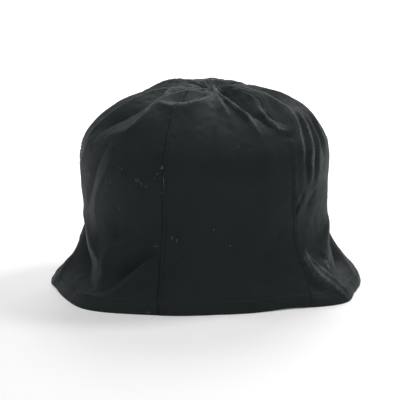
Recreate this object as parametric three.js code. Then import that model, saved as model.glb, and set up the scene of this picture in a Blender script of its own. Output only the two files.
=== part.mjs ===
// Rain hat of dark coated cloth: six gores, each running in one piece from the apex of the crown
// to the edge of the brim. Millimetres, +Z up. The hat stands on its brim's edge at z = 0 and its
// front faces -Y. An azimuth is in degrees: 0 is the front, 90 is +X, the hat's right in a front view.
import * as THREE from "three";

// Cloth
const WALL = 1.5; // coated cloth with its backing
const HEM_WALL = 2.8; // the cloth turned under along the brim's edge
const HEM_WIDTH = 9; // measured up along the cloth
const SEAM_GAP = 0.36; // between neighbouring gores
const SEAM_GROOVE = { height: -1.1, width: 3.5 };
const GROOVE_END = 6; // down from the apex

// Facets
const FACETS_ACROSS = 12; // in each gore
const ZONES = [
  { name: "brim", to: 50, facets: 7 },
  { name: "side", to: 118, facets: 5 },
  { name: "crown", to: 205, facets: 12 },
];
const HEM_STEP = 0.6; // height of the ledge on the inner side where the hem ends
const TIP_REACH = 1.8; // from the apex to the upper end of each gore

// The hat's own centre to the origin, which is the middle of the footprint
const ORIGIN_SHIFT = new THREE.Vector3(-1, -3, 0);

// Level sections, rim first: four half axes about a centre that leans to +X near the apex
const SECTIONS = [
  { height: 0, left: 116, right: 116, front: 104, back: 110, lean: 0 },
  { height: 4, left: 113, right: 115, front: 103, back: 109, lean: 0 },
  { height: 13, left: 105.5, right: 108.5, front: 100.5, back: 106.5, lean: 0 },
  { height: 22, left: 97.5, right: 102, front: 98, back: 104, lean: 0 },
  { height: 35, left: 94, right: 94.5, front: 96, back: 101, lean: 0 },
  { height: 52, left: 90.8, right: 91, front: 95, back: 99, lean: 0 },
  { height: 78, left: 92, right: 91.5, front: 96, back: 99.5, lean: 0 },
  { height: 100, left: 92.3, right: 91.5, front: 95.5, back: 98.5, lean: 0 },
  { height: 110, left: 90, right: 88.8, front: 93, back: 95.5, lean: 0 },
  { height: 120, left: 82.3, right: 82.6, front: 87, back: 89.5, lean: 0 },
  { height: 130, left: 70, right: 74.5, front: 77, back: 80, lean: 0 },
  { height: 138, left: 57, right: 61, front: 63.5, back: 66.5, lean: 1 },
  { height: 144.5, left: 43, right: 43, front: 46, back: 49, lean: 3 },
  { height: 149, left: 29, right: 25, front: 28, back: 31, lean: 5 },
  { height: 149.8, left: 0, right: 0, front: 0, back: 0, lean: 6 },
];

// The six seams. A route's places are each a distance up the cloth from the brim's edge and an azimuth.
const SEAMS = {
  front_left: [
    [0, -16], [9, -17.4], [22, -19.2], [45, -20.2], [70, -19.6], [100, -19.3],
    [128, -20.3], [141, -22], [152, -24], [163, -24], [180, -26], [219, -24],
  ],
  front_right: [
    [0, 39.5], [9, 41], [22, 43.4], [45, 44], [65, 44.2], [80, 43], [100, 42.4], [116, 43.4], [128, 45],
    [137, 43], [145, 41], [154, 41.4], [163, 44.5], [170, 44.4], [181, 41], [191, 36], [202, 31], [219, 30],
  ],
  right: [[0, 106], [30, 103], [80, 103.5], [130, 101], [170, 104], [219, 100]],
  back_right: [[0, 159], [30, 162], [80, 160.5], [130, 162], [170, 158], [219, 161]],
  back_left: [[0, 223], [30, 220], [80, 221.5], [130, 220], [170, 223], [219, 221]],
  left: [[0, 266], [30, 266], [80, 268], [130, 272], [170, 276], [219, 281]],
};

// The gores, named by where they sit, each from one seam to the next as the azimuth grows
const GORES = [
  { name: "gore_front", from: "front_left", to: "front_right" },
  { name: "gore_front_right", from: "front_right", to: "right" },
  { name: "gore_back_right", from: "right", to: "back_right" },
  { name: "gore_back", from: "back_right", to: "back_left" },
  { name: "gore_back_left", from: "back_left", to: "left" },
  { name: "gore_front_left", from: "left", to: "front_left" },
];

// Waves of the brim's edge: spread in degrees, how far they stand out and how far they lift off the ground
const WAVE_REACH = 55; // up the cloth
const REST_LIFT = 0.2; // where the waves lift the edge less than this, it lies flat on the ground
const WAVES = [
  { name: "front_swell", azimuth: -12, spread: 12, out: 4, lift: 0 },
  { name: "front_dip", azimuth: 31, spread: 11, out: -2, lift: 0.9 },
  { name: "front_right_corner", azimuth: 52, spread: 13, out: 10, lift: 0 },
  { name: "back_right_corner", azimuth: 124, spread: 20, out: 8, lift: 0 },
  { name: "back_dip", azimuth: 166, spread: 14, out: -2, lift: 1.4 },
  { name: "back_left_corner", azimuth: 205, spread: 20, out: 7, lift: 0 },
  { name: "left_dip", azimuth: 256, spread: 12, out: -1, lift: 1.2 },
  { name: "left_tip", azimuth: 285, spread: 9, out: -2.5, lift: 0 },
  { name: "front_left_corner", azimuth: 321, spread: 17, out: 13.5, lift: 0 },
];

// Folds of the crown and brim. A route's places are each an azimuth and a distance down the cloth
// from the apex. A height above zero is a ridge, and below zero a valley.
const FOLDS = [
  { name: "shelf_back_ridge", height: 3.4, width: 6, route: [[-4, 34], [-24, 36], [-34, 48], [-39, 64], [-43, 84]] },
  { name: "shelf_edge", height: 4, width: 6, route: [[0, 36], [-6, 54], [-14, 60], [-26, 62], [-38, 61]] },
  { name: "shelf_dish", height: -3, width: 7, route: [[-6, 42], [-20, 50], [-33, 54]] },
  { name: "pocket_ridge", height: 3, width: 6, route: [[-112, 14], [-72, 24], [-48, 39], [-42, 50]] },
  { name: "pocket", height: -4, width: 6, route: [[-10, 20], [-30, 25], [-43, 31]] },
  { name: "upper_left_valley", height: -5, width: 8, route: [[-62, 36], [-53, 56], [-55, 72], [-61, 92]] },
  { name: "left_top_ridge", height: 2.8, width: 7, route: [[-78, 28], [-69, 52], [-70, 76], [-73, 104]] },
  { name: "left_side_ridge", height: 2, width: 8, route: [[-112, 32], [-96, 60], [-93, 98]] },
  { name: "front_ridge", height: 3, width: 6, route: [[3, 22], [7, 41], [12, 59], [16, 70]] },
  { name: "front_long_ridge", height: 3.4, width: 6, route: [[6, 28], [17, 55], [25, 71], [30, 90]] },
  { name: "front_valley", height: -5.4, width: 7, route: [[14, 20], [21, 38], [28, 56], [35, 76]] },
  { name: "seam_ridge", height: 3.2, width: 5, route: [[39, 60], [37, 75], [42, 86], [47, 93]] },
  { name: "right_top_ridge", height: 4.2, width: 7, route: [[52, 20], [52, 44], [56, 72], [54, 92], [50, 114]] },
  { name: "right_top_valley", height: -4.4, width: 8, route: [[71, 24], [69, 50], [66, 72]] },
  { name: "right_back_ridge", height: 2.8, width: 7, route: [[92, 38], [82, 64], [79, 88], [79, 114]] },
  { name: "right_ridge", height: 2.6, width: 5, route: [[59, 70], [63, 86], [59, 106], [56, 128]] },
  { name: "right_outer_ridge", height: 1.8, width: 5, route: [[71, 80], [69, 98], [64, 114], [63, 134]] },
  { name: "apex_ridge", height: 1.6, width: 6, route: [[-125, 15], [-160, 13], [135, 14], [98, 24]] },
  { name: "notch", height: -3.6, width: 11, route: [[104, 36], [124, 44], [142, 56]] },
  { name: "right_side_ridge", height: 2, width: 7, route: [[104, 58], [92, 84], [87, 118]] },
  { name: "back_right_valley", height: -4, width: 8, route: [[116, 44], [108, 60], [110, 94]] },
  { name: "back_right_ridge", height: 3.2, width: 7, route: [[140, 42], [133, 66], [126, 102]] },
  { name: "back_notch", height: -4, width: 8, route: [[152, 18], [148, 46], [152, 86]] },
  { name: "back_ridge", height: 3.2, width: 7, route: [[171, 20], [177, 52], [186, 96]] },
  { name: "back_valley", height: -4, width: 8, route: [[195, 18], [202, 46], [196, 88]] },
  { name: "back_left_ridge", height: 3.4, width: 7, route: [[216, 22], [217, 54], [228, 96]] },
  { name: "back_left_valley", height: -3.8, width: 8, route: [[238, 32], [236, 54], [244, 88]] },
  { name: "left_wall_valley", height: -2, width: 9, route: [[-59, 100], [-66, 114], [-78, 137], [-82, 148]] },
  { name: "left_wall_ridge", height: 1.1, width: 9, route: [[-52, 110], [-61, 140], [-57, 170]] },
  { name: "left_thin_ridge", height: 3.4, width: 5, route: [[-78, 162], [-64, 171], [-56, 183], [-48, 195]] },
  { name: "left_triangle", height: -6.5, width: 8, route: [[-87, 173], [-76, 183], [-64, 193], [-51, 205]] },
  { name: "left_lip", height: 3.2, width: 7, route: [[-23, 162], [-38, 171], [-47, 181], [-49, 191]] },
  { name: "left_hollow", height: -8, width: 9, route: [[-22, 173], [-29, 184], [-37, 194], [-39, 206]] },
  { name: "left_knee", height: 2, width: 8, route: [[-20, 182], [-25, 195], [-31, 206]] },
  { name: "right_spur", height: 4.4, width: 5, route: [[48.5, 176], [47.5, 194], [53, 214]] },
  { name: "right_spur_valley", height: -1.8, width: 6, route: [[53, 172], [58, 191]] },
  { name: "right_thin_ridge", height: 4.4, width: 5, route: [[77, 163], [70, 176], [64, 188], [59, 199]] },
  { name: "right_triangle", height: -7, width: 8, route: [[90, 170], [80, 185], [71, 199], [67, 206]] },
  { name: "front_hollow", height: -1.8, width: 14, route: [[38, 158], [29, 177], [19, 193]] },
  { name: "back_right_pinch", height: -4.5, width: 10, route: [[139, 160], [146, 182], [156, 208]] },
  { name: "back_brim_valley", height: -3.2, width: 9, route: [[186, 164], [182, 184], [172, 208]] },
  { name: "back_left_pinch", height: -4.5, width: 10, route: [[245, 158], [238, 182], [231, 208]] },
];
const CREST_RADIUS = 2.5; // how round a fold's crest is
const FLANK = 1.4; // a higher power has a steeper flank and a shorter foot
const SPINE_STEPS = 16;
const TAPER = 0.3; // share of a fold's length over which it starts and ends
const EDGE_REACH = 18; // up the cloth, where folds flatten towards the stitched edge
const EDGE_SHARE = 0.35; // of a fold's height that is left at the edge
const NORMAL_TURN = 1.5; // degrees to either side, for a normal by differences
const NORMAL_CLIMB = 3; // up and down the cloth, for the same

const sum = (values) => values.reduce((total, value) => total + value, 0);
const smooth = (x) => THREE.MathUtils.smoothstep(x, 0, 1);

// A smooth curve through (knots, values), with the weighted mean of the two neighbouring slopes at each knot
function curveThrough(knots, values) {
  const slopes = values.slice(1).map((v, i) => (v - values[i]) / (knots[i + 1] - knots[i]));
  const gap = (i) => knots[i + 1] - knots[i];
  const tangents = values.map((_, i) => {
    if (i === 0) return slopes[0];
    if (i === slopes.length) return slopes[i - 1];
    return (slopes[i - 1] * gap(i) + slopes[i] * gap(i - 1)) / (gap(i - 1) + gap(i));
  });
  return (x) => {
    const after = knots.findIndex((k) => k > x);
    const i = after < 0 ? knots.length - 2 : Math.max(after - 1, 0);
    const t = (x - knots[i]) / gap(i);
    const rise = (3 - 2 * t) * t * t;
    const leave = tangents[i] * t * (1 - t) * (1 - t);
    const arrive = tangents[i + 1] * t * t * (t - 1);
    return values[i] * (1 - rise) + values[i + 1] * rise + gap(i) * (leave + arrive);
  };
}

// Distance up along the cloth at each section, taken on the mean half axis
function distancesUp() {
  const mean = SECTIONS.map((s) => (s.left + s.right + s.front + s.back) / 4);
  const ups = [0];
  for (let i = 1; i < SECTIONS.length; i++) {
    ups.push(ups[i - 1] + Math.hypot(mean[i] - mean[i - 1], SECTIONS[i].height - SECTIONS[i - 1].height));
  }
  return ups;
}

const UPS = distancesUp();
const APEX_UP = UPS[UPS.length - 1];
const sectionCurve = (column) => curveThrough(UPS, SECTIONS.map((s) => s[column]));
const curves = Object.fromEntries(Object.keys(SECTIONS[0]).map((column) => [column, sectionCurve(column)]));

// The unfolded surface: a point at an azimuth and a distance up along the cloth
function bareSurface(azimuth, up) {
  const angle = THREE.MathUtils.degToRad(azimuth);
  const across = Math.sin(angle);
  const ahead = Math.cos(angle);
  const side = across < 0 ? curves.left(up) : curves.right(up);
  const depth = ahead > 0 ? curves.front(up) : curves.back(up);
  return new THREE.Vector3(curves.lean(up) + side * across, -depth * ahead, curves.height(up));
}

// The same with the waves of the brim's edge
function wavedSurface(azimuth, up) {
  const point = bareSurface(azimuth, up);
  const share = Math.max(0, 1 - up / WAVE_REACH) ** 2;
  if (share === 0) return point;
  const strength = (wave) => {
    const away = THREE.MathUtils.euclideanModulo(azimuth - wave.azimuth + 180, 360) - 180;
    return share * Math.exp(-((away / wave.spread) ** 2));
  };
  const angle = THREE.MathUtils.degToRad(azimuth);
  const out = sum(WAVES.map((wave) => wave.out * strength(wave)));
  const lift = sum(WAVES.map((wave) => wave.lift * strength(wave)));
  const raised = Math.max(0, lift - REST_LIFT * share);
  return point.add(new THREE.Vector3(out * Math.sin(angle), -out * Math.cos(angle), raised));
}

// Unit vectors at a point of a surface: along the azimuth, up the cloth and outward, by differences
function directions(surface, azimuth, up) {
  const high = Math.min(up + NORMAL_CLIMB, APEX_UP - 0.5);
  const low = Math.max(up - NORMAL_CLIMB, 0);
  const around = surface(azimuth + NORMAL_TURN, up).sub(surface(azimuth - NORMAL_TURN, up)).normalize();
  const upward = surface(azimuth, high).sub(surface(azimuth, low)).normalize();
  const outward = around.clone().cross(upward).normalize();
  return { around, upward, outward };
}

// A fold's spine as points on the surface, each with the fold's strength there
function spineOf(fold) {
  const onMap = ([azimuth, down]) => {
    const angle = THREE.MathUtils.degToRad(azimuth);
    return new THREE.Vector2(down * Math.sin(angle), down * Math.cos(angle));
  };
  const path = new THREE.SplineCurve(fold.route.map(onMap));
  return path.getPoints(SPINE_STEPS).map((place, i) => {
    const t = i / SPINE_STEPS;
    const azimuth = THREE.MathUtils.radToDeg(Math.atan2(place.x, place.y));
    const up = Math.max(APEX_UP - place.length(), 0);
    return {
      point: wavedSurface(azimuth, up),
      strength: smooth(t / TAPER) * smooth((1 - t) / TAPER),
    };
  });
}

// A seam's azimuth at a distance up the cloth. Routes are laid so that it grows from gore to gore.
const seamCurves = Object.fromEntries(
  Object.entries(SEAMS).map(([name, route]) => [
    name,
    curveThrough(route.map(([up]) => up), route.map(([, azimuth]) => azimuth)),
  ]),
);

const seamGrooves = Object.values(SEAMS).map((route) => ({
  ...SEAM_GROOVE,
  route: route.map(([up, azimuth]) => [azimuth, APEX_UP - up]).filter(([, down]) => down > GROOVE_END),
}));
const spines = [...FOLDS, ...seamGrooves].map((fold) => ({ fold, spine: spineOf(fold) }));

// How far one fold moves a point of the waved surface
function foldHeight({ fold, spine }, point) {
  let best = { away: Infinity, strength: 0 };
  for (let i = 0; i < spine.length - 1; i++) {
    const segment = new THREE.Line3(spine[i].point, spine[i + 1].point);
    const t = segment.closestPointToPointParameter(point, true);
    const away = segment.at(t, new THREE.Vector3()).distanceTo(point);
    const strength = THREE.MathUtils.lerp(spine[i].strength, spine[i + 1].strength, t);
    if (away < best.away) best = { away, strength };
  }
  const rounded = Math.hypot(best.away, CREST_RADIUS) - CREST_RADIUS;
  return fold.height * best.strength * Math.exp(-((rounded / fold.width) ** FLANK));
}

// The outer face, folds and all
function outerFace(azimuth, up) {
  const point = wavedSurface(azimuth, up);
  const height = sum(spines.map((entry) => foldHeight(entry, point)));
  const freedom = smooth(up / EDGE_REACH);
  const { outward } = directions(wavedSurface, azimuth, up);
  outward.setZ(outward.z * freedom).normalize(); // the edge only moves level
  return point.addScaledVector(outward, height * THREE.MathUtils.lerp(EDGE_SHARE, 1, freedom));
}

// The wall's two faces at one place: the inner one lies a wall's thickness in, and level at the edge
function wallAt(azimuth, up, wall) {
  const { upward, outward } = directions(outerFace, azimuth, up);
  const sideways = upward.cross(outward).normalize();
  if (up === 0) [outward, sideways].forEach((direction) => direction.setZ(0).normalize());
  const outer = outerFace(azimuth, up);
  return { outer, inner: outer.clone().addScaledVector(outward, -wall), sideways };
}

// Rows of facets from the brim's edge to the apex: distance up, and the wall there
function facetRows() {
  const rows = [{ up: 0, wall: HEM_WALL }, { up: HEM_WIDTH, wall: HEM_WALL }];
  let from = HEM_WIDTH + HEM_STEP;
  rows.push({ up: from, wall: WALL });
  const upper = { name: "tip", to: APEX_UP - TIP_REACH, facets: 2 };
  for (const zone of [...ZONES, upper]) {
    const step = (zone.to - from) / zone.facets;
    for (let i = 1; i <= zone.facets; i++) rows.push({ up: from + i * step, wall: WALL });
    from = zone.to;
  }
  return rows;
}

// One row's loop of points: along the outer face from seam to seam, and back along the inner face.
// Both ends move half a gap away from their seam.
function loopOfPoints(gore, { up, wall }) {
  const start = seamCurves[gore.from](up);
  const end = seamCurves[gore.to](up);
  const turn = THREE.MathUtils.euclideanModulo(end - start, 360);
  const places = [...Array(FACETS_ACROSS + 1).keys()].map((i) =>
    wallAt(start + (turn * i) / FACETS_ACROSS, up, wall),
  );
  const ends = [
    { place: places[0], shift: SEAM_GAP / 2 },
    { place: places[FACETS_ACROSS], shift: -SEAM_GAP / 2 },
  ];
  for (const { place, shift } of ends) {
    place.outer.addScaledVector(place.sideways, shift);
    place.inner.addScaledVector(place.sideways, shift);
  }
  return [...places.map((place) => place.outer), ...places.map((place) => place.inner).reverse()];
}

// A gore as one closed wall: loops joined row by row, with a cap on the first and the last loop
function goreGeometry(gore) {
  const loops = facetRows().map((row) => loopOfPoints(gore, row));
  const size = loops[0].length;
  const triangles = [];
  const quad = (a, b, c, d) => triangles.push(a, b, c, a, c, d);
  for (let row = 0; row < loops.length - 1; row++) {
    for (let i = 0; i < size; i++) {
      const next = (i + 1) % size;
      const low = row * size;
      const high = low + size;
      const closing = i === size - 1; // the second seam's side, cut along the same diagonal as the first's
      if (closing) quad(low + next, high + next, high + i, low + i);
      else quad(low + i, low + next, high + next, high + i);
    }
  }
  const top = (loops.length - 1) * size;
  for (let i = 0; i < FACETS_ACROSS; i++) {
    const opposite = size - 1 - i;
    quad(i, opposite, opposite - 1, i + 1);
    quad(top + i, top + i + 1, top + opposite - 1, top + opposite);
  }
  const geometry = new THREE.BufferGeometry().setFromPoints(loops.flat());
  geometry.setIndex(triangles);
  geometry.computeVertexNormals();
  return geometry;
}

const cloth = new THREE.MeshStandardMaterial({ color: 0x212629, roughness: 0.72, metalness: 0 });

const hat = new THREE.Group();
hat.position.copy(ORIGIN_SHIFT);
for (const gore of GORES) {
  const mesh = new THREE.Mesh(goreGeometry(gore), cloth);
  mesh.name = gore.name;
  hat.add(mesh);
}

export default hat;
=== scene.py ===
"""A soft rain hat of dark coated cotton, standing on its brim on a pale floor.

Lengths of the hat are in millimetres, and MM turns them into metres where a mesh is made. Lengths of
the materials, the lamps, the floor and the camera are in metres. An azimuth is in degrees: 0 is the
hat's front (-Y), 90 is +X. "Up" is a distance up along the cloth from the brim's edge, and "down" one
from the crown's apex.
"""

import math
from collections import namedtuple

import bpy
import numpy as np
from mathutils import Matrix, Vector


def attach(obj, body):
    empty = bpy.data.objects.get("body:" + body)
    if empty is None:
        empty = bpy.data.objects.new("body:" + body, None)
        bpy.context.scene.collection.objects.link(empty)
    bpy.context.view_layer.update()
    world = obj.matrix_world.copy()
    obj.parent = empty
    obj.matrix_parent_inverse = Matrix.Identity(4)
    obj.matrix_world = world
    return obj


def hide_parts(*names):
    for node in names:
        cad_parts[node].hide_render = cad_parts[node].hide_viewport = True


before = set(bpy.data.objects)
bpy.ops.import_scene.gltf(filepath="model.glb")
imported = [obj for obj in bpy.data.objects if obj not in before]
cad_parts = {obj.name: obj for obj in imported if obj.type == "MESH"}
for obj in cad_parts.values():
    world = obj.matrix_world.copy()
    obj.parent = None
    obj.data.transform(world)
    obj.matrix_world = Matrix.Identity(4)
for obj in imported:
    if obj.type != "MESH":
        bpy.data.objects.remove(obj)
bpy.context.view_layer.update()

MM = 0.001
BODY = "root"

# The hat's own centre to the origin
ORIGIN_SHIFT = np.array([-1.0, -3.0, 0.0])

# Level sections of the outer face, edge first: four half axes about a centre that leans to +X
Section = namedtuple("Section", "height left right front back lean")
SECTIONS = [
    Section(0, 116, 116, 104, 110, 0),
    Section(4, 113, 115, 103, 109, 0),
    Section(13, 105.5, 108.5, 100.5, 106.5, 0),
    Section(22, 97.5, 102, 98, 104, 0),
    Section(35, 94, 94.5, 96, 101, 0),
    Section(52, 90.8, 91, 95, 99, 0),
    Section(78, 92, 91.5, 96, 99.5, 0),
    Section(100, 92.3, 91.5, 95.5, 98.5, 0),
    Section(110, 90, 88.8, 93, 95.5, 0),
    Section(120, 82.3, 82.6, 87, 89.5, 0),
    Section(130, 70, 74.5, 77, 80, 0),
    Section(138, 57, 61, 63.5, 66.5, 1),
    Section(144, 43, 43, 46, 49, 3),
    Section(147.4, 29, 25, 28, 31, 5),
    Section(147.2, 0, 0, 0, 0, 6),
]

# The six seams, each a line of places (up, azimuth) from the brim's edge to the apex
Seam = namedtuple("Seam", "name route")
SEAMS = [
    Seam("front_left", [(0, -16), (9, -17.4), (22, -19.2), (45, -20.2), (70, -19.6), (100, -19.3),
                        (128, -20.3), (141, -22), (152, -24), (163, -24), (180, -26), (219, -24)]),
    Seam("front_right", [(0, 39.5), (9, 41), (22, 43.4), (45, 44), (65, 44.2), (80, 43), (100, 42.4),
                         (116, 43.4), (128, 45), (137, 43), (145, 41), (154, 41.4), (163, 44.5),
                         (170, 44.4), (181, 41), (191, 36), (202, 31), (219, 30)]),
    Seam("right", [(0, 106), (30, 103), (80, 103.5), (130, 101), (170, 104), (219, 100)]),
    Seam("back_right", [(0, 159), (30, 162), (80, 160.5), (130, 162), (170, 158), (219, 161)]),
    Seam("back_left", [(0, 223), (30, 220), (80, 221.5), (130, 220), (170, 223), (219, 221)]),
    Seam("left", [(0, 266), (30, 266), (80, 268), (130, 272), (170, 276), (219, 281)]),
]

# The six gores, each from one seam to the next
Gore = namedtuple("Gore", "node start end")
GORES = [
    Gore("gore_front", "front_left", "front_right"),
    Gore("gore_front_right", "front_right", "right"),
    Gore("gore_back_right", "right", "back_right"),
    Gore("gore_back", "back_right", "back_left"),
    Gore("gore_back_left", "back_left", "left"),
    Gore("gore_front_left", "left", "front_left"),
]

# Waves of the brim's edge: how far they spread, stand out and lift off the floor
WAVE_REACH = 55
REST_LIFT = 0.2
Wave = namedtuple("Wave", "name azimuth spread out lift")
WAVES = [
    Wave("front_swell", -12, 12, 4, 0),
    Wave("front_dip", 31, 11, -2, 0.9),
    Wave("front_right_corner", 52, 13, 10, 0),
    Wave("back_right_corner", 124, 20, 8, 0),
    Wave("back_dip", 166, 14, -2, 1.4),
    Wave("back_left_corner", 205, 20, 7, 0),
    Wave("left_dip", 256, 12, -1, 1.2),
    Wave("left_tip", 285, 9, -2.5, 0),
    Wave("front_left_corner", 321, 17, 13.5, 0),
]

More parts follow.
